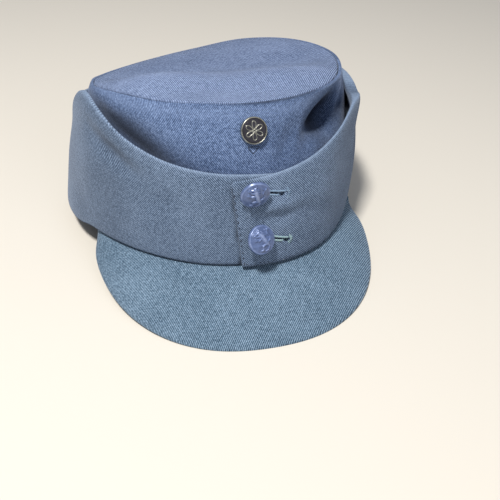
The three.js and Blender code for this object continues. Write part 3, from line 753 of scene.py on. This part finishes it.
# Satin paint on metal: mottled by handling in patches of 2.4 mm, with an orange peel of about 0.6 mm.
mottle_size, peel_size = 2.381, 0.5556
mottle = add_node(
    tree, "ShaderNodeTexNoise", {"Scale": 1000 / mottle_size, "Detail": 3}, {"Vector": place}
).outputs["Fac"]
peel = add_node(
    tree, "ShaderNodeTexNoise", {"Scale": 1000 / peel_size, "Detail": 1}, {"Vector": place}
).outputs["Fac"]
painted_light_and_wear = add_node(tree, "ShaderNodeAttribute", attribute_name="painted_light_and_wear").outputs["Fac"]
handled = weighted(tree, [(mottle, 0.5), (painted_light_and_wear, 0.25)])
paint = ramp(tree, handled, [(0.12, "#43537a"), (0.34, "#6074a2"), (0.7, "#a2b2da")])
dull = ramp(tree, mottle, [(0.3, "#9a9a9a"), (0.7, "#b8b8b8")])
bump = add_node(
    tree, "ShaderNodeBump", {"Strength": 0.3, "Distance": 0.00008}, {"Height": peel}
).outputs["Normal"]
shell = add_node(
    tree, "ShaderNodeBsdfPrincipled", {"Metallic": 0.25, "Coat Weight": 0.5, "Coat Roughness": 0.22},
    {"Base Color": paint, "Roughness": dull, "Normal": bump},
)
add_node(tree, "ShaderNodeOutputMaterial", links={"Surface": shell.outputs[0]})
shank_profile = [(0, -3.6), (1.2, -3.6), (1.2, 0.1), (0, 0.1)]
# Each button hangs turned a little on its shank, in degrees.
for name, lion_turn in (("button_upper", -6), ("button_lower", 4)):
    button = faced_disc(
        f"{name}_shell", button_radius, 64, 144, button_front, button_wear, seat(name, lion_turn)
    )
    shank = turned_piece(f"{name}_shank", shank_profile, seat(name))
    for piece in (button, shank):
        piece.data.materials.append(button_paint)
        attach(piece, "root")
        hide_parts(name)


# Badge: a round silvered dish with dark enamel and a six-petalled rosette of raised wire.
# Its pin goes through the crown wall into a spring clutch on the inside.

# In millimetres: the dish's radius, its height at the rim and on its floor, and the rim's width.
badge_radius = 7.4
badge_thick = 2.0
badge_floor = 1.1
badge_rim = 0.8


def badge_front(x, y):
    """A flat floor inside a rounded rim."""
    from_edge = badge_radius - math.hypot(x, y)
    if from_edge > badge_rim:
        return badge_floor
    return badge_thick - 0.45 * (2 * from_edge / badge_rim - 1) ** 2


# Silver plate: a soft grey shine that is darker and duller in spots of tarnish about 2 mm wide.
silver, tree = bare_material("badge_silver")
place = add_node(tree, "ShaderNodeTexCoord").outputs["Object"]
spot = 2.0
tarnish = add_node(
    tree, "ShaderNodeTexNoise", {"Scale": 1000 / spot, "Detail": 4}, {"Vector": place}
).outputs["Fac"]
metal = ramp(tree, tarnish, [(0.3, "#85867f"), (0.65, "#bdbdb4")])
rough = ramp(tree, tarnish, [(0.3, "#b8b8b8"), (0.7, "#8c8c8c")])
plate = add_node(
    tree, "ShaderNodeBsdfPrincipled", {"Metallic": 1}, {"Base Color": metal, "Roughness": rough}
)
add_node(tree, "ShaderNodeOutputMaterial", links={"Surface": plate.outputs[0]})
badge = faced_disc("badge_dish", badge_radius, 70, 96, badge_front, lambda x, y: 0, seat("badge"))
badge.data.materials.append(silver)
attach(badge, "root")
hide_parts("badge")

# Vitreous enamel fired into the dish: nearly black, clouded every 3 mm, under a thin dulled gloss.
glass, tree = bare_material("badge_enamel")
place = add_node(tree, "ShaderNodeTexCoord").outputs["Object"]
cloud = 3.333
clouds = add_node(
    tree, "ShaderNodeTexNoise", {"Scale": 1000 / cloud, "Detail": 2}, {"Vector": place}
).outputs["Fac"]
depth = ramp(tree, clouds, [(0.3, "#1c1b23"), (0.7, "#2b2a34")])
fired = add_node(
    tree, "ShaderNodeBsdfPrincipled",
    {"Roughness": 0.4, "Specular IOR Level": 0.3, "Coat Weight": 0.15, "Coat Roughness": 0.1},
    {"Base Color": depth},
)
add_node(tree, "ShaderNodeOutputMaterial", links={"Surface": fired.outputs[0]})
enamel = faced_disc(
    "badge_enamel_fill", badge_radius - badge_rim - 0.1, 24, 96,
    lambda x, y: 0.62 - 0.12 * (math.hypot(x, y) / badge_radius) ** 2, lambda x, y: 0,
    seat("badge") @ Matrix.Translation((0, 0, 0.00115)),
)
enamel.data.materials.append(glass)
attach(enamel, "root")
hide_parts("badge_enamel")

# The rosette's wires in millimetres: six petals round a small ring, each an egg of this length and width.
petal_middle, petal_half_length, petal_half_width = 3.0, 2.1, 1.05
ring_radius = 0.62
wire_height = 1.78
wires = []
for petal in range(6):
    turn = Matrix.Rotation(math.radians(-60 * petal), 3, "Z")
    wire = []
    for step in range(32):
        angle = 2 * math.pi * step / 32
        along = petal_middle - petal_half_length * math.cos(angle)
        across = petal_half_width * math.sin(angle) * (1 - 0.25 * math.cos(angle))
        wire.append(turn @ Vector((across, along, wire_height)))
    wires.append(wire)
ring = Vector((ring_radius, 0, wire_height))
wires.append([Matrix.Rotation(math.radians(15 * step), 3, "Z") @ ring for step in range(24)])
badge_seat = seat("badge")
thread(
    "badge_rosette", [[badge_seat @ (point / 1000) for point in wire] for wire in wires],
    0.26, silver, closed=True,
)

# Bright steel of the pin's spring clutch, brushed in streaks of about a millimetre.
steel, tree = bare_material("pin_steel")
place = add_node(tree, "ShaderNodeTexCoord").outputs["Object"]
streak = 1.111
brushed = add_node(
    tree, "ShaderNodeTexNoise", {"Scale": 1000 / streak, "Detail": 3}, {"Vector": place}
).outputs["Fac"]
grey = ramp(tree, brushed, [(0.3, "#7d7f82"), (0.7, "#a9abae")])
wire = add_node(tree, "ShaderNodeBsdfPrincipled", {"Metallic": 1, "Roughness": 0.35}, {"Base Color": grey})
add_node(tree, "ShaderNodeOutputMaterial", links={"Surface": wire.outputs[0]})
# Radius and height in millimetres: the clutch's round cup inside the crown, then the pin up to the dish.
clutch_profile = [
    (0, -4.8), (3.2, -4.8), (4.1, -4.6), (4.5, -4.1), (4.5, -3.5),
    (4.2, -3.1), (1.5, -3.1), (0.8, -2.9), (0.8, -0.3), (0, -0.3),
]
clutch = turned_piece("badge_clutch", clutch_profile, badge_seat)
clutch.data.materials.append(steel)
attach(clutch, "root")
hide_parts("badge_pin")


# Floor, lights and camera: a pale studio floor that the cap rests on by its peak and back edge, a key light
# from the upper left and a weak fill from the front. The camera looks down on the front from the left.

floor_mesh = bpy.data.meshes.new("floor")
floor_form = bmesh.new()
bmesh.ops.create_grid(floor_form, x_segments=1, y_segments=1, size=3)
floor_form.to_mesh(floor_mesh)
floor_form.free()
floor = bpy.data.objects.new("floor", floor_mesh)
bpy.context.scene.collection.objects.link(floor)
floor_paint = bpy.data.materials.new("floor_paint")
floor_paint.use_nodes = True
floor_paint.node_tree.nodes["Principled BSDF"].inputs["Base Color"].default_value = linear("#d9d5cd")
floor_paint.node_tree.nodes["Principled BSDF"].inputs["Roughness"].default_value = 0.8
floor_mesh.materials.append(floor_paint)


def area_light(name, place, power, size, tint):
    """A soft square light at a place, turned to the cap."""
    lamp = bpy.data.lights.new(name, "AREA")
    lamp.energy = power
    lamp.size = size
    lamp.color = linear(tint)[:3]
    light = bpy.data.objects.new(name, lamp)
    light.location = place
    light.rotation_euler = (Vector((0, 0, 0.04)) - Vector(place)).to_track_quat("-Z", "Y").to_euler()
    bpy.context.scene.collection.objects.link(light)


area_light("key", (-0.34, -0.4, 1.15), 18.3, 0.15, "#fffaf2")
area_light("fill", (0.5, -1.2, 0.7), 2.4, 0.9, "#f4f7ff")
world = bpy.data.worlds.new("studio")
world.use_nodes = True
world.node_tree.nodes["Background"].inputs["Color"].default_value = linear("#e8ecf4")
world.node_tree.nodes["Background"].inputs["Strength"].default_value = 0.34
bpy.context.scene.world = world
bpy.context.scene.view_settings.view_transform = "Standard"

camera_turn = math.radians(-17.4)
camera_rise = math.radians(38.8)
camera_roll = math.radians(4.1)
camera_target = Vector((0.01344, -0.04342, 0.000718))
camera_distance = 0.42
back = Vector(
    (
        math.sin(camera_turn) * math.cos(camera_rise),
        -math.cos(camera_turn) * math.cos(camera_rise),
        math.sin(camera_rise),
    )
)
right = Vector((math.cos(camera_turn), math.sin(camera_turn), 0))
rolled_right = right * math.cos(camera_roll) + back.cross(right) * math.sin(camera_roll)
camera = bpy.data.objects.new("camera", bpy.data.cameras.new("camera"))
camera.data.sensor_width = 36
camera.data.lens = 45.96
camera.data.clip_start = 0.01
axes = Matrix((rolled_right, back.cross(rolled_right), back)).transposed()
camera.matrix_world = Matrix.Translation(camera_target + back * camera_distance) @ axes.to_4x4()
bpy.context.scene.collection.objects.link(camera)
bpy.context.scene.camera = camera
